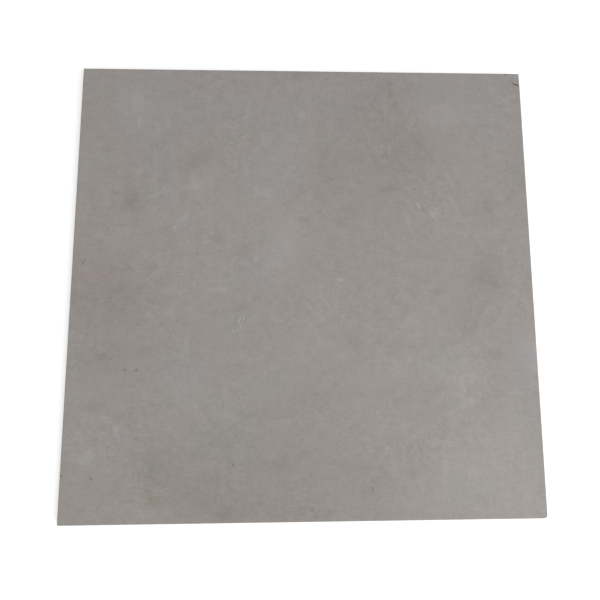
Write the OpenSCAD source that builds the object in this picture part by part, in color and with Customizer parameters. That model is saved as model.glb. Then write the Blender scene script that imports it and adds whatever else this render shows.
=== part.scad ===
// Square porcelain floor tile, lying with its wearing face up.
// The origin is the centre of the back, at the level of the ribs it lies on.
// +X is to the right, +Y to the far side and +Z out of the wearing face.

/* [Tile] */
// Width of the tile, left to right
tile_w = 600; // [200:10:1200]
// Depth of the tile, front to far side
tile_d = 600; // [200:10:1200]
// Overall thickness, from the ribs of the back to the wearing face
tile_t = 10; // [6:0.5:20]

/* [Edges] */
// Radius of the eased edge around the wearing face
arris_r = 0.8; // [0.4:0.1:2]
// Chamfer around the back
back_chamfer = 0.6; // [0.2:0.1:1.5]

/* [Corners] */
// Radius of the far left corner, as made
far_left_r = 1; // [0.5:0.5:8]
// Radius of the far right corner, as made
far_right_r = 1; // [0.5:0.5:8]
// Radius of the front left corner, a little worn
front_left_r = 2; // [0.5:0.5:8]
// Radius of the front right corner, worn round
front_right_r = 4.5; // [0.5:0.5:8]

/* [Back] */
// Plain border around the waffle
border_w = 18; // [8:1:40]
// Width of a rib between two pockets
rib_w = 4; // [2:0.5:10]
// Side of a square pocket between the ribs
pocket_w = 31.5; // [16:0.5:80]
// Height of the ribs above the floor of the pockets
rib_h = 0.7; // [0.3:0.1:1.5]

/* [Cracked corner] */
// Distance of the crack's mouth from the far right corner, along the right side
crack_from_corner = 18; // [12:1:40]
// Length of the crack, from the right side inwards
crack_len = 13; // [6:1:25]
// Width of the crack at its mouth
crack_w = 1.4; // [0.6:0.1:3]
// Depth of the crack below the wearing face
crack_depth = 3; // [1:0.5:5]
// Angle between the crack and the far side
crack_angle = 25; // [10:1:45]
// Distance of the small chip from the far right corner, along the far side
chip_from_corner = 17; // [8:1:40]
// Radius of the chip's hollow
chip_r = 3; // [2:0.5:6]
// Depth of the chip's hollow in the sharp edge
chip_bite = 0.9; // [0.5:0.1:1.5]

/* [Hidden] */

// Facets of a full circle
round_fn = 48;
// How far a cutting shape reaches past the surface it cuts
over = 1;
// Corners as [side in X, side in Y, radius]
corners = [
    [-1, 1, far_left_r],
    [1, 1, far_right_r],
    [-1, -1, front_left_r],
    [1, -1, front_right_r]
];

// Upright section across the tile, with the eased edges of the face and the chamfered back
module section(width, arris) {
    half = width / 2;
    difference() {
        translate([-half, 0]) square([width, tile_t]);
        for (side = [0, 1]) mirror([side, 0]) {
            translate([half - arris, tile_t - arris]) difference() {
                square(arris + over);
                circle(r = arris, $fn = round_fn);
            }
            polygon([[half - back_chamfer, 0], [half, back_chamfer], [half + over, -over]]);
        }
    }
}

// Plate with square corners, cut to its section in both directions
module blank() {
    intersection() {
        translate([0, tile_d / 2, 0]) rotate([90, 0, 0])
            linear_extrude(tile_d) section(tile_w, arris_r);
        translate([-tile_w / 2, 0, 0]) rotate([90, 0, 90])
            linear_extrude(tile_w) section(tile_d, arris_r);
    }
}

// Places its children at a corner, where the tile lies towards their -X and -Y
module at_corner(side_x, side_y) {
    translate([side_x * tile_w / 2, side_y * tile_d / 2, 0])
        mirror([side_x < 0 ? 1 : 0, 0, 0]) mirror([0, side_y < 0 ? 1 : 0, 0]) children();
}

// Square block that clears a corner
module corner_block(radius) {
    translate([-radius, -radius, -over]) cube([radius + over, radius + over, tile_t + 2 * over]);
}

// Quarter round that fills the cleared corner
module corner_round(radius) {
    translate([-radius, -radius, 0]) rotate_extrude(angle = 90, $fn = round_fn) intersection() {
        section(2 * radius, min(arris_r, radius));
        square([radius, tile_t]);
    }
}

// Plate with each of its corners rounded
module plate() {
    difference() {
        blank();
        for (c = corners) at_corner(c[0], c[1]) corner_block(c[2]);
    }
    for (c = corners) at_corner(c[0], c[1]) corner_round(c[2]);
}

// Shallow pockets that key the adhesive, with a rib along both middles and the last
// row cut off at the border, or left out where less than a rib's width of it is left
module pockets() {
    pitch = pocket_w + rib_w;
    end_x = tile_w / 2 - border_w;
    end_y = tile_d / 2 - border_w;
    for (mirror_x = [0, 1], mirror_y = [0, 1]) mirror([mirror_x, 0, 0]) mirror([0, mirror_y, 0])
        for (x = [rib_w / 2:pitch:end_x - rib_w], y = [rib_w / 2:pitch:end_y - rib_w])
            translate([x, y, -over])
                cube([min(pocket_w, end_x - x), min(pocket_w, end_y - y), rib_h + over]);
}

// Wedge-shaped crack, open at the right side and running inwards to a point
module crack() {
    half_w = crack_w / 2;
    translate([0, -crack_from_corner, tile_t - crack_depth])
        rotate([0, 0, 180 - crack_angle]) linear_extrude(crack_depth + over)
            polygon([[crack_len, 0], [0, half_w], [-over, half_w], [-over, -half_w], [0, -half_w]]);
}

// Round hollow of a small chip in the edge at the far side
module chip() {
    translate([-chip_from_corner, 0, tile_t]) rotate([-45, 0, 0])
        translate([0, 0, chip_r - chip_bite]) sphere(r = chip_r, $fn = round_fn);
}

module tile() {
    color("#9a9590") difference() {
        plate();
        pockets();
        at_corner(1, 1) {
            crack();
            chip();
        }
    }
}

tile();
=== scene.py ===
import bpy
import bmesh
import math
import random
from mathutils import Euler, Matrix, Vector


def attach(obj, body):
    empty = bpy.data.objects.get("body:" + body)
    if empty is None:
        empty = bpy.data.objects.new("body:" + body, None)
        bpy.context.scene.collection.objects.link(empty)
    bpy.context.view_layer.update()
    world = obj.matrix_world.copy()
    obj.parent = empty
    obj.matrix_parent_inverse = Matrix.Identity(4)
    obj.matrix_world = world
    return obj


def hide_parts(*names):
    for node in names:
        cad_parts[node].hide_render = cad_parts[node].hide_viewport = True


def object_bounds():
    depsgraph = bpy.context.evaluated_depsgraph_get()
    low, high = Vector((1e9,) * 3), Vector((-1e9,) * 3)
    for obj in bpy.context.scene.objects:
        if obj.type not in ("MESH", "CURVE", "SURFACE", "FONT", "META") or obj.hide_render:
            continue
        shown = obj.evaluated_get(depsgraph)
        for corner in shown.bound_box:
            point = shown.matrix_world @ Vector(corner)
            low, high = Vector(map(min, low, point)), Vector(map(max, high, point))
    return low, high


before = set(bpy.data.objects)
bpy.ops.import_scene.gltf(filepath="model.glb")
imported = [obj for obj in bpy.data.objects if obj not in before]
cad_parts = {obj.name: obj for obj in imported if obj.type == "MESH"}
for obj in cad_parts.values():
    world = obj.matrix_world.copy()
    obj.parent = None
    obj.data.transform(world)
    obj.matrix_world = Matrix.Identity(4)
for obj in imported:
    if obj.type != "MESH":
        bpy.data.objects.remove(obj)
cadLow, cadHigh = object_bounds()
mm = 0.001
near = 0.01 * mm  # what is closer than this to a plane lies in it
level = 0.99  # a face whose normal has more than this in z lies level


# shared helpers

def hexColour(code):  # sRGB hex to the linear colour that shaders take
    parts = [int(code[i:i + 2], 16) / 255 for i in (1, 3, 5)]
    linear = [c / 12.92 if c <= 0.04045 else ((c + 0.055) / 1.055) ** 2.4 for c in parts]
    return (*linear, 1.0)


def ease(share):  # from 0 to 1 with a soft start and end
    return share * share * (3 - 2 * share)


def clearNodes(owner):  # the empty node tree of a material or world
    owner.use_nodes = True
    owner.node_tree.nodes.clear()
    return owner.node_tree


def addNode(tree, kind, settings=None, inputs=None):  # a socket in inputs is linked, anything else is set
    node = tree.nodes.new(kind)
    for name, value in (settings or {}).items():
        setattr(node, name, value)
    for name, value in (inputs or {}).items():
        if isinstance(value, bpy.types.NodeSocket):
            tree.links.new(value, node.inputs[name])
        else:
            node.inputs[name].default_value = value
    return node


def deselectAll():
    if bpy.context.object and bpy.context.object.mode != "OBJECT":
        bpy.ops.object.mode_set(mode="OBJECT")
    bpy.ops.object.select_all(action="DESELECT")


def makeActive(piece):
    deselectAll()
    piece.select_set(True)
    bpy.context.view_layer.objects.active = piece


def applyTransform(piece):
    makeActive(piece)
    bpy.ops.object.transform_apply(location=True, rotation=True, scale=True)


def pick(piece, kind, test):  # in edit mode, selects the verts, edges or faces that pass the test
    bpy.ops.mesh.select_mode(type=kind)
    bpy.ops.mesh.select_all(action="DESELECT")
    shape = bmesh.from_edit_mesh(piece.data)
    shape.normal_update()
    for part in {"VERT": shape.verts, "EDGE": shape.edges, "FACE": shape.faces}[kind]:
        if test(part):
            part.select_set(True)
    shape.select_flush_mode()
    bmesh.update_edit_mesh(piece.data)


def pickSlots(piece, *slots):  # in edit mode, selects all faces of these material slots
    bpy.ops.mesh.select_mode(type="FACE")
    bpy.ops.mesh.select_all(action="DESELECT")
    for slot in slots:
        piece.active_material_index = slot
        bpy.ops.object.material_slot_select()


def giveSlot(piece, slot, test):
    pick(piece, "FACE", test)
    piece.active_material_index = slot
    bpy.ops.object.material_slot_assign()


def applyModifier(piece, kind, **settings):
    makeActive(piece)
    modifier = piece.modifiers.new(kind.title(), kind)
    for name, value in settings.items():
        setattr(modifier, name, value)
    bpy.ops.object.modifier_apply(modifier=modifier.name)


# the slab: a pressed plate with rounded corners, eased edges and a ribbed back

slab = {
    "width": cadHigh.x - cadLow.x,
    "depth": cadHigh.y - cadLow.y,
    "top": cadHigh.z,
    "arris": 0.8 * mm,  # eased edge round the face
    "arrisSteps": 4,
    "glazedSlope": 0.7,  # a steeper facet of the arris is ground down to the body
    "backChamfer": 0.6 * mm,
    "corners": [  # side in x, side in y, radius, steps
        (-1, 1, 1.0 * mm, 4),
        (1, 1, 1.0 * mm, 4),
        (-1, -1, 2.0 * mm, 6),  # a little worn
        (1, -1, 4.5 * mm, 10),  # worn round
    ],
    "cell": 2.5 * mm,  # grid of the face, fine enough for its relief
    "crackedZone": 26 * mm,  # square at the far right corner with a finer grid
    "crackedCuts": 2,  # of each cell there
    "cutMerge": 0.001 * mm,  # a cut that passes a point this close goes through it
    "doubles": 0.002 * mm,  # points closer than this are merged at the end
    "smoothAngle": 35,  # degrees, an edge sharper than this stays sharp
}
glazeSlot, bodySlot, backSlot, dirtSlot, scarSlot = range(5)  # in the order of the finishes


def cutGrid(piece, slots, axis, places):  # bisects the faces of these slots at each place along the axis
    for place in places:
        pickSlots(piece, *slots)
        point = [0, 0, 0]
        point[axis] = place
        normal = [0, 0, 0]
        normal[axis] = 1
        bpy.ops.mesh.bisect(plane_co=point, plane_no=normal, threshold=slab["cutMerge"])


def buildSlab(materials):
    deselectAll()
    top = slab["top"]
    bpy.ops.mesh.primitive_cube_add(size=1, location=(0, 0, top / 2))
    piece = bpy.context.object
    piece.name = "glazedTile"
    piece.scale = (slab["width"], slab["depth"], top)
    applyTransform(piece)
    for material in materials:
        piece.data.materials.append(material)
    bpy.ops.object.mode_set(mode="EDIT")

    for sideX, sideY, radius, steps in slab["corners"]:
        pick(piece, "EDGE", lambda edge: (
            abs(edge.verts[0].co.z - edge.verts[1].co.z) > top / 2
            and all(vert.co.x * sideX > 0 and vert.co.y * sideY > 0 for vert in edge.verts)
        ))
        bpy.ops.mesh.bevel(offset=radius, segments=steps, profile=0.5, affect="EDGES")
    pick(piece, "EDGE", lambda edge: all(vert.co.z > top - near for vert in edge.verts))
    bpy.ops.mesh.bevel(offset=slab["arris"], segments=slab["arrisSteps"], profile=0.5,
                       affect="EDGES", clamp_overlap=False)
    pick(piece, "EDGE", lambda edge: all(vert.co.z < near for vert in edge.verts))
    bpy.ops.mesh.bevel(offset=slab["backChamfer"], segments=1, affect="EDGES", clamp_overlap=False)

    giveSlot(piece, bodySlot, lambda face: True)
    giveSlot(piece, glazeSlot, lambda face: face.normal.z > slab["glazedSlope"])
    giveSlot(piece, backSlot, lambda face: face.normal.z < -level)

    for axis, length in ((0, slab["width"]), (1, slab["depth"])):
        half = round(length / 2 / slab["cell"])
        cutGrid(piece, (glazeSlot, bodySlot), axis, [i * slab["cell"] for i in range(1 - half, half)])
    inside = slab["width"] / 2 - slab["crackedZone"]
    pick(piece, "FACE", lambda face: (
        face.normal.z > level
        and min(face.calc_center_median().x, face.calc_center_median().y) > inside
    ))
    bpy.ops.mesh.subdivide(number_cuts=slab["crackedCuts"])
    piece.update_from_editmode()
    print("slab:", len(piece.data.polygons), "faces")
    return piece


waffle = {
    "border": 18 * mm,  # plain, round the ribbed field
    "pitch": 35.5 * mm,
    "rib": 4.0 * mm,
    "depth": 0.7 * mm,
    "pocketCorner": 2.2 * mm,  # radius in plan
    "cornerSteps": 3,
    "ribEdge": 0.15 * mm,  # soft edge of a rib
    "draft": 0.35 * mm,  # slope of a pocket's wall, which lets the tile leave its press
}


def pressBack(piece):
    half = slab["width"] / 2 - waffle["border"] + waffle["rib"] / 2
    rows = round(half / waffle["pitch"])
    lines = [i * waffle["pitch"] for i in range(-rows, rows + 1)]
    cutGrid(piece, (backSlot,), 0, lines)
    cutGrid(piece, (backSlot,), 1, lines)
    pick(piece, "FACE", lambda face: (
        face.normal.z < -level
        and max(abs(face.calc_center_median().x), abs(face.calc_center_median().y)) < half
    ))
    bpy.ops.mesh.inset(thickness=waffle["rib"] / 2 - waffle["ribEdge"], use_individual=True)
    bpy.ops.mesh.bevel(offset=waffle["pocketCorner"], segments=waffle["cornerSteps"], affect="VERTICES")
    pocketPoints = 4 * (waffle["cornerSteps"] + 1)  # of its floor, with the rounded corners
    halfPocket = (waffle["pitch"] - waffle["rib"]) ** 2 / 2  # the faces where ribs cross are smaller
    pick(piece, "FACE", lambda face: (
        face.normal.z < -level and len(face.verts) == pocketPoints and face.calc_area() > halfPocket
    ))
    steps = (
        (waffle["ribEdge"], waffle["ribEdge"] / 2),
        (waffle["draft"], waffle["depth"] - waffle["ribEdge"]),
        (waffle["ribEdge"], waffle["ribEdge"] / 2),
    )
    for inward, sunk in steps:
        bpy.ops.mesh.inset(thickness=inward, depth=-sunk, use_individual=True)
    deselectAll()
    print("back:", len(piece.data.polygons), "faces")


# the glaze's own relief: long trowelled waves and small lumps, only ever below the highest face

relief = {
    "fade": 9 * mm,  # the waves die out this far inside the eased edge
    "waves": [("longWaves", 70 * mm, 0.10 * mm), ("lumps", 14 * mm, 0.05 * mm)],  # size, height
    "waveDetail": 2,
    "rimGrain": 5 * mm,
    "rimWear": 0.06 * mm,
    "cornerSunk": 0.2 * mm,  # the cracked corner has moved inwards by this at its right side
    "cornerReach": 11 * mm,
}


def raiseRelief(piece):
    top = slab["top"]
    faceGroup = piece.vertex_groups.new(name="face")
    rimGroup = piece.vertex_groups.new(name="rim")
    cornerGroup = piece.vertex_groups.new(name="corner")
    mouthX, mouthY = (part * mm for part in crack["path"][0][:2])
    for vert in piece.data.vertices:
        inside = min(slab["width"] / 2 - abs(vert.co.x), slab["depth"] / 2 - abs(vert.co.y)) - slab["arris"]
        if vert.co.z > top - near and inside > 0:
            faceGroup.add([vert.index], ease(min(inside / relief["fade"], 1)), "REPLACE")
        elif vert.co.z > top / 2:
            rimGroup.add([vert.index], 1, "REPLACE")
        right = 1 - (slab["width"] / 2 - vert.co.x) / relief["cornerReach"]
        if right > 0 and vert.co.y > mouthY + (mouthX - vert.co.x) * crack["slope"]:
            cornerGroup.add([vert.index], ease(right), "REPLACE")
    for name, size, height in relief["waves"]:
        pattern = bpy.data.textures.new(name, "CLOUDS")
        pattern.noise_scale = size
        pattern.noise_depth = relief["waveDetail"]
        applyModifier(piece, "DISPLACE", texture=pattern, texture_coords="LOCAL", direction="Z",
                      vertex_group="face", mid_level=1, strength=height)
    pattern = bpy.data.textures.new("rimWear", "CLOUDS")
    pattern.noise_scale = relief["rimGrain"]
    applyModifier(piece, "DISPLACE", texture=pattern, texture_coords="LOCAL", direction="NORMAL",
                  vertex_group="rim", mid_level=1, strength=relief["rimWear"])
    applyModifier(piece, "DISPLACE", direction="X", vertex_group="corner", mid_level=0,
                  strength=-relief["cornerSunk"])
    print("relief: done")


# wear: chips, pits and the cracked corner, cut out of the slab with small rough stones

wear = {
    "seed": 23,
    "stones": 3,  # of different shape
    "stoneRough": 0.3,  # share of its radius that a stone's points stray
    "scars": [  # chips that lay the body bare: x, y, length, half width, depth in mm, turn in degrees
        (294.9, 285.2, 5.6, 1.25, 0.55, -24),
        (294.3, 281.8, 4.6, 1.05, 0.5, -22),
        (299.9, 282.0, 2.6, 0.6, 0.8, 90),
        (276, 300.2, 1.4, 0.6, 0.6, 0),
        (300, -120, 1.6, 0.6, 0.6, 90),
        (300.2, 96, 1.4, 0.7, 0.7, 90),
        (-300, 38, 1.8, 0.8, 0.8, 90),
        (-300.2, -54, 1.5, 0.8, 0.6, 90),
        (-300.2, -212, 1.3, 0.6, 0.6, 90),
        (-168, 300.2, 1.4, 0.7, 0.6, 0),
        (-60, -300.2, 1.6, 0.7, 0.5, 0),
        (158, -300.2, 1.3, 0.6, 0.6, 0),
    ],
    "pits": [  # x, y, radius in mm
        (281.4, 299.2, 0.9), (-298.6, -241, 0.7), (-262, -245, 0.9), (-90, -230, 0.8),
        (-227, -112, 0.5), (30, 289, 0.9), (33, 289.3, 0.6),
    ],
    "pitDepth": 0.45,  # share of its radius
    "pitNarrow": 0.7,  # the least width of a pit, as a share of its length
    "pitSunk": 0.06,  # mm from the face down to a pit's middle
    "pinholes": 46,  # smaller ones, scattered
    "pinholeRadius": (0.25, 0.45),  # mm
    "pinholeReach": 108,  # cells of the face's grid, from the middle
    "pinholeDrift": 0.5,  # mm, off the middle of its cell, which keeps it clear of the grid's lines
}
crack = {
    "path": [  # x, y, width, depth in mm, from the right side to the hidden tip
        (301.2, 280.8, 0.8, 1.3),
        (299.2, 281.5, 0.9, 1.5),
        (297.2, 282.3, 2.0, 2.6),
        (294.8, 283.3, 2.5, 2.5),
        (292.6, 284.2, 2.4, 2.2),
        (290.8, 285.0, 1.5, 1.6),
        (289.6, 285.7, 0.5, 1.0),
        (288.6, 286.4, 0.05, 0.5),
    ],
    "heading": 156,  # degrees from +X, about the middle of its course
    "slope": 0.45,  # its rise over its run beside the mouth
    "bottom": 0.12,  # width at the bottom as a share of the width at the face
    "cuts": 2,  # of each stretch, for its rough walls
    "rough": 0.2,  # mm that its walls stray, up to this far along it and down it
    "roughReach": 11.5,
    "roughDepth": 1.3,
    "roughSeed": 5,
    "proud": 0.3,  # mm that its cutter stands above the face, more than it is rough
}


def makeStones():  # rough stones of one unit radius, which every chip and pit is copied from
    stones = []
    for seed in range(wear["stones"]):
        deselectAll()
        bpy.ops.mesh.primitive_ico_sphere_add(subdivisions=2, radius=1)
        stone = bpy.context.object
        bpy.ops.object.mode_set(mode="EDIT")
        bpy.ops.mesh.select_all(action="SELECT")
        bpy.ops.transform.vertex_random(offset=wear["stoneRough"], seed=seed)
        deselectAll()
        stones.append(stone)
    return stones


def placeStone(stone, place, size, turn, material):
    copy = stone.copy()
    copy.data = stone.data.copy()
    bpy.context.collection.objects.link(copy)
    copy.location = place
    copy.scale = size
    copy.rotation_euler = (0, 0, math.radians(turn))
    copy.data.materials.append(material)
    return copy


def joinPieces(pieces):
    deselectAll()
    for piece in pieces:
        piece.select_set(True)
    bpy.context.view_layer.objects.active = pieces[0]
    if len(pieces) > 1:
        bpy.ops.object.join()
    applyTransform(pieces[0])
    return pieces[0]


def carve(piece, cutter):
    applyModifier(piece, "BOOLEAN", operation="DIFFERENCE", solver="EXACT", object=cutter,
                  material_mode="TRANSFER")
    bpy.data.objects.remove(cutter, do_unlink=True)


def makeCrack(material):  # a V-shaped groove, open at the right side and narrowing to its tip
    startX, startY = crack["path"][0][:2]
    last = len(crack["path"]) - 1
    deselectAll()
    bpy.ops.mesh.primitive_cube_add(size=1, location=(0.5, 0, -0.5))
    wedge = bpy.context.object
    applyTransform(wedge)
    wedge.data.materials.append(material)
    bpy.ops.object.mode_set(mode="EDIT")
    pick(wedge, "FACE", lambda face: face.normal.z < -level)
    bpy.ops.transform.resize(value=(1, crack["bottom"], 1), center_override=(0.5, 0, -1))
    for i in range(1, last):
        bpy.ops.mesh.select_all(action="SELECT")
        bpy.ops.mesh.bisect(plane_co=(i / last, 0, 0), plane_no=(1, 0, 0))
    bpy.ops.mesh.select_all(action="SELECT")
    bpy.ops.transform.resize(value=(last, 1, 1), center_override=(0, 0, 0))
    for i in range(last, -1, -1):  # each section goes to its place, and is hidden so that it stays there
        x, y, width, depth = crack["path"][i]
        offset = Vector((x - startX, y - startY, 0))
        offset.rotate(Euler((0, 0, -math.radians(crack["heading"]))))
        pick(wedge, "VERT", lambda vert: abs(vert.co.x - i) < near / mm and not vert.hide)
        bpy.ops.transform.resize(value=(1, width, depth), center_override=(i, 0, 0))
        bpy.ops.transform.translate(value=(offset.x - i, offset.y, 0))
        bpy.ops.mesh.hide(unselected=False)
    bpy.ops.mesh.reveal()
    pick(wedge, "FACE", lambda face: face.normal.z > level)
    bpy.ops.transform.translate(value=(0, 0, crack["proud"]))
    bpy.ops.mesh.select_all(action="SELECT")
    bpy.ops.mesh.subdivide(number_cuts=crack["cuts"])
    pick(wedge, "VERT", lambda vert: vert.co.x < crack["roughReach"] and vert.co.z > -crack["roughDepth"])
    bpy.ops.transform.vertex_random(offset=crack["rough"], seed=crack["roughSeed"])
    deselectAll()
    wedge.scale = (mm, mm, mm)
    wedge.rotation_euler = (0, 0, math.radians(crack["heading"]))
    wedge.location = (startX * mm, startY * mm, slab["top"])
    applyTransform(wedge)
    return wedge


def wearTile(piece, dirt, scar):
    top = slab["top"]
    rng = random.Random(wear["seed"])
    stones = makeStones()
    chips = []
    for x, y, length, width, depth, turn in wear["scars"]:
        chips.append(placeStone(rng.choice(stones), (x * mm, y * mm, top),
                                (length / 2 * mm, width * mm, depth * mm), turn, scar))
    carve(piece, joinPieces(chips))
    carve(piece, makeCrack(dirt))
    holes = []
    pits = list(wear["pits"])
    reach, drift = wear["pinholeReach"], wear["pinholeDrift"]
    for _ in range(wear["pinholes"]):
        x, y = ((rng.randrange(-reach, reach) + 0.5) * slab["cell"] / mm + rng.uniform(-drift, drift)
                for _ in "xy")
        pits.append((x, y, rng.uniform(*wear["pinholeRadius"])))
    for x, y, radius in pits:
        size = (radius * mm, radius * rng.uniform(wear["pitNarrow"], 1) * mm, radius * wear["pitDepth"] * mm)
        holes.append(placeStone(rng.choice(stones), (x * mm, y * mm, top - wear["pitSunk"] * mm),
                                size, rng.uniform(0, 180), dirt))
    carve(piece, joinPieces(holes))
    for stone in stones:
        bpy.data.objects.remove(stone, do_unlink=True)
    print("wear:", len(piece.data.polygons), "faces")


def finishMesh(piece):
    makeActive(piece)
    bpy.ops.object.mode_set(mode="EDIT")
    bpy.ops.mesh.select_all(action="SELECT")
    bpy.ops.mesh.remove_doubles(threshold=slab["doubles"])
    bpy.ops.mesh.normals_make_consistent(inside=False)
    bpy.ops.object.mode_set(mode="OBJECT")
    bpy.ops.object.shade_smooth_by_angle(angle=math.radians(slab["smoothAngle"]))
    shape = bmesh.new()
    shape.from_mesh(piece.data)
    openEdges = sum(not edge.is_manifold for edge in shape.edges)
    shape.free()
    print("mesh:", openEdges, "open edges")


# materials, each on Object coordinates turned into millimetres
# a noise is written as size in mm, levels of tone, detail, roughness, and flecks as spacing, radius, levels

halfway = 0.5  # from the cool colour of a material to its warm one
levelGain = 0.015  # what one level of tone adds to the light, about one step of 255 in mid grey


def startMaterial(name):
    material = bpy.data.materials.new(name)
    tree = clearNodes(material)
    place = addNode(tree, "ShaderNodeTexCoord")
    scaled = addNode(tree, "ShaderNodeVectorMath", {"operation": "SCALE"},
                     {0: place.outputs["Object"], "Scale": 1 / mm})
    return material, tree, scaled.outputs[0]


def addUp(tree, *values):
    total = values[0]
    for value in values[1:]:
        total = addNode(tree, "ShaderNodeMath", {"operation": "ADD"}, {0: total, 1: value}).outputs[0]
    return total


def noiseLevels(tree, place, size, levels, detail=0, roughness=0.5):  # noise that drifts either side of zero
    noise = addNode(tree, "ShaderNodeTexNoise", None,
                    {"Vector": place, "Scale": 1 / size, "Detail": detail, "Roughness": roughness})
    return addNode(tree, "ShaderNodeMath", {"operation": "MULTIPLY_ADD"},
                   {0: noise.outputs["Fac"], 1: 2 * levels, 2: -levels}).outputs[0]


def patchSum(tree, place, patches, core=0):  # sum of soft ellipses, which hold their full value in the core
    soft = []
    for x, y, halfLength, halfWidth, turn, value in patches:
        local = addNode(tree, "ShaderNodeMapping", {"vector_type": "TEXTURE"}, {
            "Vector": place, "Location": (x, y, 0), "Rotation": (0, 0, math.radians(turn)),
            "Scale": (halfLength, halfWidth, 1),
        })
        dome = addNode(tree, "ShaderNodeTexGradient", {"gradient_type": "SPHERICAL"},
                       {"Vector": local.outputs[0]})
        soft.append(addNode(tree, "ShaderNodeMapRange", {"interpolation_type": "SMOOTHSTEP"}, {
            "Value": dome.outputs["Fac"], "From Max": 1 - core, "To Max": value,
        }).outputs[0])
    return addUp(tree, *soft)


def warpPlace(tree, place, size, reach):  # moves the place by up to the reach, so that edges wander
    noise = addNode(tree, "ShaderNodeTexNoise", None, {"Vector": place, "Scale": 1 / size, "Detail": 2})
    centred = addNode(tree, "ShaderNodeVectorMath", {"operation": "SUBTRACT"},
                      {0: noise.outputs["Color"], 1: (0.5, 0.5, 0.5)})
    return addNode(tree, "ShaderNodeVectorMath", {"operation": "MULTIPLY_ADD"},
                   {0: centred.outputs[0], 1: (2 * reach, 2 * reach, 0), 2: place}).outputs[0]


def flecks(tree, place, spacing, radius, levels):  # soft dots, each of its own strength
    cells = addNode(tree, "ShaderNodeTexVoronoi", None, {"Vector": place, "Scale": 1 / spacing})
    dot = addNode(tree, "ShaderNodeMapRange", {"interpolation_type": "SMOOTHSTEP"}, {
        "Value": cells.outputs["Distance"], "From Min": radius / spacing, "From Max": 0, "To Max": levels,
    })
    strength = addNode(tree, "ShaderNodeSeparateColor", None, {"Color": cells.outputs["Color"]})
    return addNode(tree, "ShaderNodeMath", {"operation": "MULTIPLY"},
                   {0: dot.outputs[0], 1: strength.outputs[0]}).outputs[0]


def tintTone(tree, cool, warm, hue, tone):  # the hue goes from cool at 0 to warm at 1, and on past both
    tint = addNode(tree, "ShaderNodeMix", {"data_type": "RGBA", "clamp_factor": False},
                   {"Factor": hue, "A": hexColour(cool), "B": hexColour(warm)})
    gain = addNode(tree, "ShaderNodeMath", {"operation": "MULTIPLY_ADD"}, {0: tone, 1: levelGain, 2: 1.0})
    return addNode(tree, "ShaderNodeVectorMath", {"operation": "SCALE"},
                   {0: tint.outputs["Result"], "Scale": gain.outputs[0]}).outputs[0]


def shadeSurface(tree, colour, roughness, height, strength, distance):  # the last three are the bump's
    bump = addNode(tree, "ShaderNodeBump", None,
                   {"Height": height, "Strength": strength, "Distance": distance})
    shader = addNode(tree, "ShaderNodeBsdfPrincipled", None,
                     {"Base Color": colour, "Roughness": roughness, "Normal": bump.outputs[0]})
    addNode(tree, "ShaderNodeOutputMaterial", None, {"Surface": shader.outputs[0]})


# matt glaze over a digital cement print: tones drift in clouds, with trowel strokes, flecks and fine grain

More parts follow.
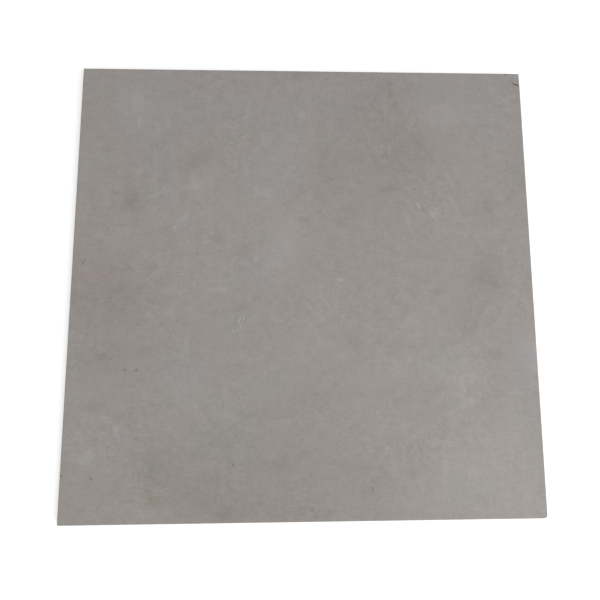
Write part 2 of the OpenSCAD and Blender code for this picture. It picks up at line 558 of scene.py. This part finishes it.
glaze = {
    "cool": "#92908f",
    "warm": "#988f87",
    "rosy": "#a08c8d",
    "roughness": 0.6,
    "sheen": 0.008,  # a pale spot of the mottle is duller by this for each level
    "mottle": (15, 22, 4, 1.0),
    "activity": (80, 1.0, 1),  # the mottle is stronger in one place and fainter in another
    "grain": (3.2, 6.4, 2, 0.8),
    "paleFlecks": (17, 3, 5),
    "darkFlecks": (23, 2.5, -6),
    "hueMiddle": 0.47,
    "hueNoise": (30, 0.16, 3, 0.7),
    "toneToHue": -0.012,  # what each level of tone moves the hue by: dark is warmer
    "blushMiddle": 0.012,
    "blushNoise": (26, 0.16, 3, 0.9),
    "cloudWander": [(34, 14), (9, 4)],  # size and reach in mm of what makes the clouds' edges wander
    "markWander": (6, 2),
    "markCore": 0.4,  # the share of a mark that has its full tone
    "streak": (16, 3),  # length and width of a brush streak in mm
    "streakNoise": (1, 9, 2, 0.8),  # its size is in streaks
    "bumpNoise": [(0.8, 0.5, 2), (6, 0.8, 2)],
    "bump": (0.5, 0.03 * mm),  # strength, height
    "clouds": [  # x, y, half length, half width in mm, turn in degrees, tone
        (-30, 50, 75, 45, 75, 6), (-225, 245, 60, 50, 120, 5), (-140, 138, 34, 26, 30, 4),
        (-55, 120, 42, 26, 10, 3), (-190, 92, 30, 22, 50, 2), (10, -75, 60, 50, 0, 2.5),
        (150, -60, 42, 40, 0, 3), (203, -125, 75, 36, 80, 5), (204, -232, 56, 72, 0, 4),
        (262, -212, 62, 84, 0, 4), (256, -272, 70, 50, 0, 3), (-245, 62, 50, 16, 0, 2.5),
        (298, -92, 45, 32, 80, 7), (188, 232, 60, 44, 0, 3), (-272, -208, 50, 44, 0, 3.5),
        (-112, -8, 34, 16, 10, 2.5), (-30, 180, 70, 55, 80, 2.5), (-282, 165, 60, 34, 90, 2),
        (188, 84, 46, 34, 110, 2), (118, -112, 80, 34, 5, 2.5), (-282, -150, 50, 36, 90, 2),
        (112, 190, 140, 120, 70, -5), (112, 128, 26, 20, 0, -2), (-120, 60, 200, 150, 20, 2.5),
        (140, 190, 70, 40, 50, -2.5), (105, 275, 70, 40, 0, -3.5), (30, 150, 60, 36, 80, -3),
        (-250, -16, 90, 74, 0, -6.5), (-240, -94, 84, 34, 5, -4), (-140, 168, 46, 26, 15, -3.5),
        (238, 5, 58, 44, 80, -6), (214, -50, 44, 30, 120, -3), (244, 104, 28, 22, 100, -3),
        (288, 150, 90, 36, 90, -3.5), (296, 286, 44, 34, 0, -3.5), (-190, -236, 60, 40, 110, -5),
        (-40, -250, 220, 110, 4, -6), (-100, -292, 80, 44, 0, -4.5), (0, -298, 70, 44, 0, -4.5),
        (-130, -205, 90, 44, 10, -2.5), (82, -262, 66, 50, 100, -4), (-5, -154, 90, 34, 20, -3.5),
        (-145, -262, 70, 46, 0, -3.5), (-226, 111, 32, 27, 0, -5), (20, 302, 80, 26, 0, -3.5),
        (296, -206, 30, 46, 0, -3), (272, -132, 26, 30, 0, 2), (-40, 298, 110, 26, 0, -3),
        (56, 95, 40, 26, 0, -2.5), (38, -162, 34, 24, 0, -2.5), (20, -20, 50, 28, 0, 2.5),
        (150, 216, 26, 26, 0, 2.5), (-180, 50, 40, 24, 0, -2.5), (-290, 98, 20, 34, 0, 2.5),
        (103, -294, 60, 22, 0, -2.5), (140, -234, 26, 26, 0, -2), (168, -265, 14, 12, 0, 3),
        (-68, 152, 30, 22, 0, 3), (-152, -132, 38, 34, 0, 3.5), (298, -95, 26, 30, 0, 3),
        (-35, -280, 28, 16, 0, -3), (-233, 120, 20, 18, 0, -1.7), (172, -104, 26, 20, 0, 2.5),
        (140, -150, 50, 34, 0, -1.5), (60, 240, 60, 40, 0, -2), (-185, -288, 60, 14, 4, 2),
    ],
    "marks": [  # the same, smaller and with harder edges
        # far left: pale wisps round the warm spot, dark smears below them
        (-145, 134, 14, 8, -60, 4.6), (-160, 87, 16, 6, 52, 7), (-170, 74, 7, 3.4, -50, 8.5),
        (-189, 124, 11, 3, 50, 6), (-178, 130, 7, 2.4, -60, 5), (-225, 252, 20, 10, 115, 5),
        (-222, 224, 12, 4, 88, 6), (-196, 213, 12, 5, 100, 7), (-183, 222, 10, 3.5, -60, 5),
        (-197, 119, 10, 6, 40, 4.5), (-155, 101, 8, 6, 50, 4), (-216, 186, 13, 9, 0, 3.5),
        (-88, 247, 9, 8, 0, 4), (-58, 246, 8, 8, 0, 3.5), (-131, 69, 10, 7, 0, -3.5),
        (-104, 188, 10, 8, 0, -3), (-168, 240, 9, 4, 0, 5), (-76, 245, 16, 5, 80, 4.5),
        (-3, 232, 12, 6, 80, 4.5), (-48, 122, 14, 10, 0, 4), (-92, 168, 18, 3, 75, 4),
        (-229, 112, 17, 10, 78, -4.6), (-220, 99, 18, 8, 20, -3), (-70, 48, 34, 9, 26, -4.8),
        (-117, 60, 20, 7, -15, -5), (-184, 70, 12, 9, 10, -4.5), (-92, 141, 9, 5, 60, -4.5),
        (-147, 168, 36, 12, 30, -3), (-264, 183, 17, 5, 0, -4.5), (-285, 28, 7, 2, 58, -15),
        (-144, 284, 7, 5, 0, 2.5), (-77, 132, 6, 5, 0, 2.5), (-62, 123, 5, 6, 0, 2.5),
        (-30, 121, 3, 6, 0, 3), (-195, 142, 14, 9, 0, 2.5), (-169, 252, 14, 5, 100, 2.5),
        (-207, 291, 6, 5, 0, 2.5), (-269, 130, 4, 3, 0, 5), (-198, 30, 2, 5, 0, 4),
        (-193, 21, 6, 5, 0, -3.5), (-232, 41, 4, 2, 20, -5),
        # far right, down to the middle: slanting brush strokes, a pale nick and dark smears
        (172, 92, 14, 3.4, -60, 7), (186, 70, 8, 4, -50, 6), (134, 96, 15, 4, -60, 5),
        (138, 84, 8, 3, -60, 5), (152, 107, 8, 3, -55, 6), (201, 104, 16, 3, -64, 5.5),
        (196, 142, 16, 3, -62, 4.5), (222, 122, 6, 3, 0, 6), (113, 112, 6, 3, -60, 4.5),
        (170, 66, 9, 5, -60, -3.5), (189, 133, 9, 4, -60, 4), (8, 55, 10, 9, 0, 3.5),
        (280, 98, 9, 7, 0, 3.5), (64, 134, 10, 6, 0, 4.5), (252, 71, 12, 8, 0, 3),
        (206, 112, 16, 3, -62, -3), (160, 98, 14, 2.6, -60, -5), (148, 96, 10, 3, -60, 3),
        (184, 236, 34, 26, 0, 3), (46.5, 4, 7, 2.6, -14, 15), (257, -11, 6, 4, 0, 5), (256, 2, 3, 2.4, 0, 5),
        (64, 247, 16, 6, -10, -3), (118, 272, 24, 4.5, 88, -5), (106, 232, 16, 3.8, 90, -3),
        (155, 193, 14, 8, -50, -4), (166, 173, 13, 9, 0, -4.5), (26, 178, 15, 8, 60, -3.6),
        (20, 160, 12, 5, 100, -3), (17, 124, 17, 6, 95, -4), (0, 86, 16, 6, 0, -4.5),
        (112, 127, 19, 7, 8, -3), (246, 101, 18, 8, 105, -5.5), (241, 2, 26, 17, -20, -3.2),
        (245, 32, 18, 9, 20, -3), (174, -12, 8, 7, 0, -5), (45, 14, 12, 3, -10, -6),
        # near left: the scuffed knot, wisps, smears and the faint streaks along the front
        (-93, -44, 4.5, 1.8, 110, 12), (-85, -50, 6, 2, 75, 12), (-79, -45, 4, 1.6, 100, 9),
        (-91, -63, 5, 2, 20, 8), (-82, -58, 4, 1.6, 60, 8), (-89, -47, 5, 1.5, 95, -12),
        (-76, -50, 7, 1.7, 80, -11), (-90, -60, 2, 2, 0, -10), (-86, -34, 20, 6, 12, -5.5),
        (-112, -39, 14, 5, -10, -4.5), (-63, -20, 12, 5, 30, -4.5), (-114, -8, 18, 5, 4, 5.5),
        (-151, -84, 20, 4, 88, 5), (-67, -48, 10, 6, 0, 3.5), (-136, -160, 8, 2.4, -60, 6),
        (-126, -174, 9, 2.6, -65, 4), (-246, -174, 14, 5, 160, 4.5), (-233, -192, 16, 5, -70, 5.5),
        (-207, -199, 9, 7, 0, -3), (-113, -153, 10, 8, 0, 3.5), (-32, -180, 22, 7, 4, 3.5),
        (-269, -220, 15, 9, 40, 6.5), (-30, -99, 20, 0.8, 0, 4), (-290, -60, 12, 0.9, -22, -6),
        (-262, -158, 24, 9, 0, -3.5), (-259, -23, 7, 2, 5, 5), (-198, -43, 7, 5, 0, 4),
        (-235, -187, 5, 14, 0, 3), (-173, -186, 3, 2.6, 0, 7), (-162, -211, 3.4, 3, 0, 6),
        (-145, -204, 5, 4, 0, 4), (-203, -87, 15, 7, 0, -3.5), (-249, -95, 20, 7, 0, -3.2),
        (-32, -230, 15, 12, 20, -3.5), (-93, -288, 26, 11, 0, -2.5), (-110, -197, 15, 7, 60, -1.6),
        (-193, -244, 6, 3, 10, -4), (-190, -237, 17, 9, 100, -3.2), (-230, -275, 27, 2.8, 6, -3.2),
        (-178, -269, 20, 3.4, 3, -3.4), (-270, -283, 14, 3, 8, -4), (-60, -168, 26, 8, 20, -2.5),
        # near right: a pale hook, wisps and dark smears
        (138, -48, 12, 4, -20, 4), (201, -134, 15, 4.5, -75, 5.5), (211, -154, 13, 4, -52, 5.5),
        (213, -119, 12, 5, 30, 2.5), (174, -240, 26, 6, 84, 5), (212, -243, 14, 9, 0, 3.5),
        (176, -214, 14, 7, 60, 4.5), (215, -188, 11, 8, 0, 4), (71, -228, 10, 7, 0, 3),
        (277, -37, 6, 2, 120, 7), (283, -44, 3, 2, 0, 6), (275, -42, 3, 2, 30, -5),
        (190, -16, 34, 0.9, 3, 4.5), (16, -48, 16, 9, 0, 3), (212, -58, 26, 14, 70, -3),
        (245, -95, 14, 11, 0, -5), (63, -78, 14, 11, 0, -4.5), (129, -213, 8, 5, 60, -7),
        (143, -214, 9, 2.4, 110, -6), (132, -189, 3.4, 3.4, 0, -6), (112, -155, 7, 2, 95, -6),
        (118, -151, 8, 1.8, 60, -5), (134, -243, 12, 4, 85, -5), (82.5, -262, 5, 2.2, 100, -13),
        (76, -253, 6, 2.4, 60, 5), (69, -243, 5, 2.4, 50, -5), (217, -276, 16, 8, 140, -4),
        # dots under the glaze
        (281, 298, 2.6, 2.2, 0, -22), (-262, -245, 3.4, 3, 0, -10), (-90, -230.5, 1.6, 3.4, 0, -13),
        (-227, -112, 3, 3.2, 0, -16), (-212, -112.5, 2.6, 3, 0, -19), (-298, -241, 3, 3, 0, -8),
        (-237, -121, 2.2, 2.2, 0, -5), (-277, -66, 4, 1.5, -20, -9), (-249, -19, 2.8, 2.4, 0, -12),
        (-226, 22, 2.4, 3, 0, -6), (-231, 18, 3, 2.4, 0, -5), (-167, 209, 4, 1.7, 0, -8),
        (38, 143, 2.4, 2.4, 0, -9), (-140, 39, 2.2, 2.6, 0, -13), (-218, -166, 2.4, 2.8, 0, -12),
        (-232, -173, 2, 2, 0, -12), (-121, -174, 2.2, 2.2, 0, -12), (-12, -180, 2.4, 2.4, 0, -12),
        (-5, -201, 2.2, 1.6, 0, -12), (30.5, 289, 2, 1.8, 0, -14), (8.5, -285, 3.4, 3.8, 0, -12),
        (13, -293, 3.6, 3, 0, -8), (2, -281, 3, 2, 0, -5),
    ],
    "tints": [  # towards warm where positive, as a share of the way from cool to warm
        (0, 320, 420, 190, 0, -0.16), (-205, 235, 130, 110, 0, -0.1), (285, 265, 90, 130, 0, -0.16),
        (-40, 190, 60, 60, 0, -0.08), (190, 285, 60, 40, 0, -0.08), (265, -285, 130, 70, 0, 0.08),
        (-230, -275, 32, 5, 6, 0.42), (-188, -269, 28, 6, 3, 0.4), (-98, 142, 12, 10, 0, 0.15),
        (-145, 172, 46, 28, 25, 0.1), (-72, 48, 26, 10, 28, 0.03), (-280, 240, 30, 60, 0, 0.08),
        (-156, 268, 30, 14, 60, -0.15), (-235, -187, 8, 16, 0, -0.15), (-30, 121, 6, 8, 0, -0.2),
        (4, 160, 8, 14, 0, -0.2), (-219, 244, 10, 6, 110, -0.2), (-196, 211, 12, 8, 90, -0.2),
        (115, 240, 14, 44, 0, 0.15), (-198, 200, 90, 36, 100, -0.3), (-215, 262, 60, 46, 60, -0.18),
        (-66, 150, 46, 26, 100, -0.25), (-25, 145, 40, 40, 0, -0.15), (-56, 20, 60, 40, 60, -0.12),
        (-86, -50, 34, 28, 90, -0.03), (-154, -120, 62, 42, 90, -0.16), (-48, -132, 42, 24, 0, -0.12),
        (172, -102, 36, 24, 0, -0.08), (290, -110, 100, 24, 90, -0.35), (176, 252, 44, 34, 90, -0.2),
        (230, 245, 30, 30, 0, -0.12), (205, -272, 60, 26, 0, -0.03), (46.5, 4, 12, 6, -14, -0.3),
        (-168, 80, 26, 10, 50, -0.2), (-186, 124, 26, 16, 50, -0.25), (292, 291, 16, 12, -30, -0.45),
        (-212, -113, 5, 5, 0, 0.5), (9, -285, 7, 6, 0, 0.4), (13, -293, 7, 5, 0, 0.35),
        (297, 118, 5, 6, 0, 0.3), (-35, -296, 60, 9, 0, 0.3),
    ],
    "blushes": [  # towards rosy where positive, greenish where negative, as a share
        (-30, 292, 330, 46, 0, 0.1), (-100, -190, 80, 60, 60, -0.14), (-90, -50, 34, 30, 0, -0.1),
        (172, -102, 44, 28, 0, -0.1), (292, -178, 26, 70, 0, -0.18), (215, -268, 70, 34, 0, -0.06),
        (-156, -122, 56, 50, 90, -0.06), (-68, 148, 40, 26, 100, -0.1), (-188, 124, 26, 18, 50, -0.07),
        (-46, -128, 44, 26, 0, -0.1), (-86, 12, 40, 24, 0, -0.05), (176, 250, 40, 30, 90, 0.08),
        (-215, 250, 40, 30, 90, 0.08), (-270, 12, 40, 28, 10, 0.3), (-232, 3, 34, 14, 10, 0.25),
        (-275, -28, 22, 12, -20, 0.15), (-231, 116, 24, 13, 80, 0.3), (-236, 96, 10, 8, 0, 0.14),
        (-268, -90, 10, 16, 0, 0.15), (-222, -262, 26, 10, 0, 0.2), (-155, -260, 40, 10, 8, 0.2),
        (-262, -281, 20, 6, 8, 0.15), (-172, -280, 30, 8, 0, 0.12), (240, 0, 26, 18, 0, -0.07),
        (-72, 50, 22, 12, 28, -0.08), (-72, -222, 18, 20, 0, -0.14), (-190, -237, 18, 12, 0, -0.12),
        (189, -262, 22, 18, 0, -0.12), (-35, -276, 46, 22, 0, 0.22), (-25, -240, 14, 14, 0, 0.15),
        (-70, -268, 14, 14, 0, 0.15), (22, -286, 12, 12, 0, 0.15), (112, 121, 26, 8, 6, 0.14),
        (144, 154, 10, 8, 0, 0.18), (188, 167, 9, 10, 0, 0.2), (-133, 65, 8, 6, 0, 0.2),
        (16, 172, 5, 18, 0, 0.15), (283, 240, 8, 8, 0, 0.15), (-128, 268, 8, 8, 0, 0.15),
        (-212, -113, 4, 4, 0, 0.3), (297, 118, 4, 5, 0, 0.4),
    ],
    "brushed": [  # turn of the strokes, then the patches that hold them
        (-60, [(170, 110, 130, 100, 0, 1), (-120, -190, 120, 70, 0, 1), (210, -140, 60, 60, 0, 1)]),
        (52, [(-190, 90, 120, 80, 30, 1), (-255, -205, 60, 60, 0, 0.8)]),
        (88, [(118, 210, 110, 50, 90, 1), (125, -225, 90, 70, 90, 1), (-150, -90, 90, 50, 90, 0.7)]),
    ],
}


def brushStrokes(tree, place, turn, areas):  # short parallel streaks inside the areas
    along = addNode(tree, "ShaderNodeMapping", {"vector_type": "TEXTURE"}, {
        "Vector": place, "Rotation": (0, 0, math.radians(turn)), "Scale": (*glaze["streak"], 1),
    })
    streaks = noiseLevels(tree, along.outputs[0], *glaze["streakNoise"])
    return addNode(tree, "ShaderNodeMath", {"operation": "MULTIPLY"},
                   {0: streaks, 1: patchSum(tree, place, areas)}).outputs[0]


def mattGlaze():
    material, tree, place = startMaterial("mattGlazedCementPrint")
    flat = addNode(tree, "ShaderNodeVectorMath", {"operation": "MULTIPLY"},
                   {0: place, 1: (1, 1, 0)}).outputs[0]
    drift = flat
    for size, reach in glaze["cloudWander"]:
        drift = warpPlace(tree, drift, size, reach)
    nudge = warpPlace(tree, flat, *glaze["markWander"])

    tone = addUp(tree, patchSum(tree, drift, glaze["clouds"]),
                 patchSum(tree, nudge, glaze["marks"], glaze["markCore"]))
    for turn, areas in glaze["brushed"]:
        tone = addUp(tree, tone, brushStrokes(tree, nudge, turn, areas))
    mottle = noiseLevels(tree, flat, *glaze["mottle"])
    activity = addUp(tree, noiseLevels(tree, flat, *glaze["activity"]), 1)
    lively = addNode(tree, "ShaderNodeMath", {"operation": "MULTIPLY"}, {0: mottle, 1: activity})
    tone = addUp(tree, tone, lively.outputs[0], flecks(tree, nudge, *glaze["paleFlecks"]),
                 flecks(tree, drift, *glaze["darkFlecks"]), noiseLevels(tree, flat, *glaze["grain"]))

    hue = addUp(tree, patchSum(tree, drift, glaze["tints"]),
                noiseLevels(tree, drift, *glaze["hueNoise"]), glaze["hueMiddle"])
    hue = addNode(tree, "ShaderNodeMath", {"operation": "MULTIPLY_ADD"},
                  {0: tone, 1: glaze["toneToHue"], 2: hue}).outputs[0]
    blush = addUp(tree, patchSum(tree, drift, glaze["blushes"]),
                  noiseLevels(tree, nudge, *glaze["blushNoise"]), glaze["blushMiddle"])
    colour = addNode(tree, "ShaderNodeMix", {"data_type": "RGBA", "clamp_factor": False}, {
        "Factor": blush, "A": tintTone(tree, glaze["cool"], glaze["warm"], hue, tone),
        "B": tintTone(tree, glaze["rosy"], glaze["rosy"], 0, tone),
    }).outputs["Result"]

    sheen = addNode(tree, "ShaderNodeMath", {"operation": "MULTIPLY_ADD"},
                    {0: mottle, 1: glaze["sheen"], 2: glaze["roughness"]}).outputs[0]
    lumps = addUp(tree, *(noiseLevels(tree, place, *noise) for noise in glaze["bumpNoise"]))
    shadeSurface(tree, colour, sheen, lumps, *glaze["bump"])
    return material


# pressed and ground porcelain body: dense, chalky grey-beige, with pale and dark grains of the
# spray-dried powder, and the pale engobe as a thin line under the glaze

body = {
    "cool": "#938e86",
    "warm": "#a2978b",
    "roughness": 0.75,
    "grindMark": (14, 14, 0.35),  # mm, what the edge grinder leaves: long in x and y, low in z
    "scratches": (1, 9, 2, 0.7),  # its size is in grinding marks
    "clouds": (22, 9, 3, 0.7),
    "grainWander": (0.6, 0.4),
    "paleGrains": (1.2, 0.45, 18),
    "darkGrains": (1.5, 0.5, -22),
    "hueNoise": (30, 1.2, 2),
    "engobe": "#bfb8ac",
    "engobeLow": 9.25,  # mm above the lowest face
    "engobeHigh": 9.5,
    "engobeWander": (3, 0.3, 2),
    "bump": (0.4, 0.01 * mm),
}


def groundBody():
    material, tree, place = startMaterial("groundPorcelainBody")
    marks = addNode(tree, "ShaderNodeVectorMath", {"operation": "MULTIPLY"},
                    {0: place, 1: [1 / size for size in body["grindMark"]]}).outputs[0]
    scratches = noiseLevels(tree, marks, *body["scratches"])
    grains = warpPlace(tree, place, *body["grainWander"])
    tone = addUp(tree, scratches, noiseLevels(tree, place, *body["clouds"]),
                 flecks(tree, grains, *body["paleGrains"]), flecks(tree, grains, *body["darkGrains"]))
    hue = addUp(tree, noiseLevels(tree, place, *body["hueNoise"]), halfway)
    height = addNode(tree, "ShaderNodeSeparateXYZ", None, {"Vector": place}).outputs["Z"]
    height = addUp(tree, height, noiseLevels(tree, place, *body["engobeWander"]))
    line = addNode(tree, "ShaderNodeMapRange", {"interpolation_type": "SMOOTHSTEP"},
                   {"Value": height, "From Min": body["engobeLow"], "From Max": body["engobeHigh"]})
    colour = addNode(tree, "ShaderNodeMix", {"data_type": "RGBA"}, {
        "Factor": line.outputs[0], "A": tintTone(tree, body["cool"], body["warm"], hue, tone),
        "B": hexColour(body["engobe"]),
    }).outputs["Result"]
    shadeSurface(tree, colour, body["roughness"], scratches, *body["bump"])
    return material


# the back as it left the press and the kiln: body colour in the pockets, chalky kiln wash rubbed on the ribs

back = {
    "cool": "#8d8880",
    "warm": "#9c9083",
    "roughness": 0.85,
    "clouds": (60, 12, 4, 0.7),
    "grain": (2.5, 6, 2),
    "darkGrains": (2.2, 0.6, -20),
    "hueNoise": (80, 1.6, 2),
    "wash": "#c8c3ba",
    "washHeight": 0.3,  # mm above the lowest face
    "washCover": 0.62,  # about the share of the ribs that it hides
    "washNoise": (16, 1.1, 5, 0.65),
    "bumpNoise": [(0.7, 0.5, 2), (3, 0.5, 2)],
    "bump": (0.6, 0.08 * mm),
}


def washedBack():
    material, tree, place = startMaterial("kilnWashedBack")
    tone = addUp(tree, noiseLevels(tree, place, *back["clouds"]), noiseLevels(tree, place, *back["grain"]),
                 flecks(tree, place, *back["darkGrains"]))
    hue = addUp(tree, noiseLevels(tree, place, *back["hueNoise"]), halfway)
    height = addNode(tree, "ShaderNodeSeparateXYZ", None, {"Vector": place}).outputs["Z"]
    low = addNode(tree, "ShaderNodeMapRange", {"interpolation_type": "SMOOTHSTEP"},
                  {"Value": height, "From Min": back["washHeight"], "From Max": 0})
    patchy = addUp(tree, noiseLevels(tree, place, *back["washNoise"]), back["washCover"])
    cover = addNode(tree, "ShaderNodeMath", {"operation": "MULTIPLY"}, {0: low.outputs[0], 1: patchy})
    colour = addNode(tree, "ShaderNodeMix", {"data_type": "RGBA"}, {
        "Factor": cover.outputs[0], "A": tintTone(tree, back["cool"], back["warm"], hue, tone),
        "B": hexColour(back["wash"]),
    }).outputs["Result"]
    lumps = addUp(tree, *(noiseLevels(tree, place, *noise) for noise in back["bumpNoise"]))
    shadeSurface(tree, colour, back["roughness"], lumps, *back["bump"])
    return material


# dirt packed into the crack and the pits, and body laid bare by a chip: uneven, with coarse grains

crumbs = {
    "packedDirt": {"cool": "#6c6259", "warm": "#7e6f5f", "grain": 0.7, "roughness": 0.9},  # grain in mm
    "freshScar": {"cool": "#a0978c", "warm": "#afa192", "grain": 0.5, "roughness": 0.8},
    "blotches": (4, 14, 3, 0.7),
    "grainLevels": -18,
    "hueNoise": (6, 1.2, 2),
    "bumpNoise": (0.5, 3, 0.6),  # its size is the grain's
    "bump": (0.7, 0.12 * mm),
}


def crumbly(name):
    kind = crumbs[name]
    grain = kind["grain"]
    material, tree, place = startMaterial(name)
    tone = addUp(tree, noiseLevels(tree, place, *crumbs["blotches"]),
                 flecks(tree, place, grain * 2, grain, crumbs["grainLevels"]))
    hue = addUp(tree, noiseLevels(tree, place, *crumbs["hueNoise"]), halfway)
    lumps = noiseLevels(tree, place, grain, *crumbs["bumpNoise"])
    shadeSurface(tree, tintTone(tree, kind["cool"], kind["warm"], hue, tone), kind["roughness"],
                 lumps, *crumbs["bump"])
    return material


# the stage: a pale floor, soft studio light and the camera

stage = {
    "floorSize": 80.0,
    "floorDrop": 0.02 * mm,  # below the tile's ribs
    "floorColour": "#fbfbfb",
    "white": "#ffffff",
    "floorGlow": (0.28, 0.42),  # seen directly only: near the tile, and where the key light has faded
    "glowReach": (0.5, 2.5),  # metres from the middle
    "world": 0.628,
    "keyPlace": (1.4, -1.1, 1.5),
    "keySize": 2.0,
    "keyPower": 31,
}
cameraSizes = {
    "place": (0.0015, -0.1732, 0.6843),
    "turn": (8.072, -1.84, -0.506),
    "sensor": 36,
    "lens": 31.9,
    "shift": (-0.04, 0.07),
    "nearest": 0.01,  # metres from the camera, where its view starts
}


def seenDirectly(tree):  # 1 for what the camera sees, also by mirror or through glass, 0 for what lights
    ray = addNode(tree, "ShaderNodeLightPath")
    seen = ray.outputs["Is Camera Ray"]
    for kind in ("Is Glossy Ray", "Is Transmission Ray"):
        seen = addNode(tree, "ShaderNodeMath", {"operation": "MAXIMUM"},
                       {0: seen, 1: ray.outputs[kind]}).outputs[0]
    return seen


def buildFloor():
    deselectAll()
    bpy.ops.mesh.primitive_plane_add(size=stage["floorSize"], location=(0, 0, cadLow.z - stage["floorDrop"]))
    floor = bpy.context.object
    floor.name = "floor"
    material = bpy.data.materials.new("paleFloor")
    tree = clearNodes(material)
    place = addNode(tree, "ShaderNodeTexCoord").outputs["Object"]
    distance = addNode(tree, "ShaderNodeVectorMath", {"operation": "LENGTH"}, {0: place}).outputs["Value"]
    glow = addNode(tree, "ShaderNodeMapRange", None, {
        "Value": distance, "From Min": stage["glowReach"][0], "From Max": stage["glowReach"][1],
        "To Min": stage["floorGlow"][0], "To Max": stage["floorGlow"][1],
    })
    glow = addNode(tree, "ShaderNodeMath", {"operation": "MULTIPLY"},
                   {0: seenDirectly(tree), 1: glow.outputs[0]})
    shader = addNode(tree, "ShaderNodeBsdfPrincipled", None, {
        "Base Color": hexColour(stage["floorColour"]), "Roughness": 1.0, "Specular IOR Level": 0.0,
        "Emission Color": hexColour(stage["white"]), "Emission Strength": glow.outputs[0],
    })
    addNode(tree, "ShaderNodeOutputMaterial", None, {"Surface": shader.outputs[0]})
    floor.data.materials.append(material)


def buildWorld():
    world = bpy.data.worlds.new("studio")
    bpy.context.scene.world = world
    tree = clearNodes(world)
    strength = addNode(tree, "ShaderNodeMapRange", None,
                       {"Value": seenDirectly(tree), "To Min": stage["world"], "To Max": 1.0})
    sky = addNode(tree, "ShaderNodeBackground", None,
                  {"Color": hexColour(stage["white"]), "Strength": strength.outputs[0]})
    addNode(tree, "ShaderNodeOutputWorld", None, {"Surface": sky.outputs[0]})


def buildLights():
    bpy.ops.object.light_add(type="AREA", location=stage["keyPlace"])
    key = bpy.context.object
    key.name = "keyLight"
    key.data.size = stage["keySize"]
    key.data.energy = stage["keyPower"]
    key.rotation_euler = (-Vector(stage["keyPlace"])).to_track_quat("-Z", "Y").to_euler()


def buildCamera():
    bpy.ops.object.camera_add(location=cameraSizes["place"])
    camera = bpy.context.object
    camera.name = "camera"
    camera.rotation_euler = [math.radians(angle) for angle in cameraSizes["turn"]]
    camera.data.sensor_width = cameraSizes["sensor"]
    camera.data.lens = cameraSizes["lens"]
    camera.data.shift_x, camera.data.shift_y = cameraSizes["shift"]
    camera.data.clip_start = cameraSizes["nearest"]
    bpy.context.scene.camera = camera


bpy.context.scene.view_settings.view_transform = "Standard"
buildWorld()
buildLights()
buildFloor()
buildCamera()
print("stage: done")

finishes = [mattGlaze(), groundBody(), washedBack(), crumbly("packedDirt"), crumbly("freshScar")]
print("materials:", len(finishes))

tilePiece = buildSlab(finishes)
pressBack(tilePiece)
raiseRelief(tilePiece)
wearTile(tilePiece, finishes[dirtSlot], finishes[scarSlot])
finishMesh(tilePiece)
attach(tilePiece, "root")
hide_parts("tile")
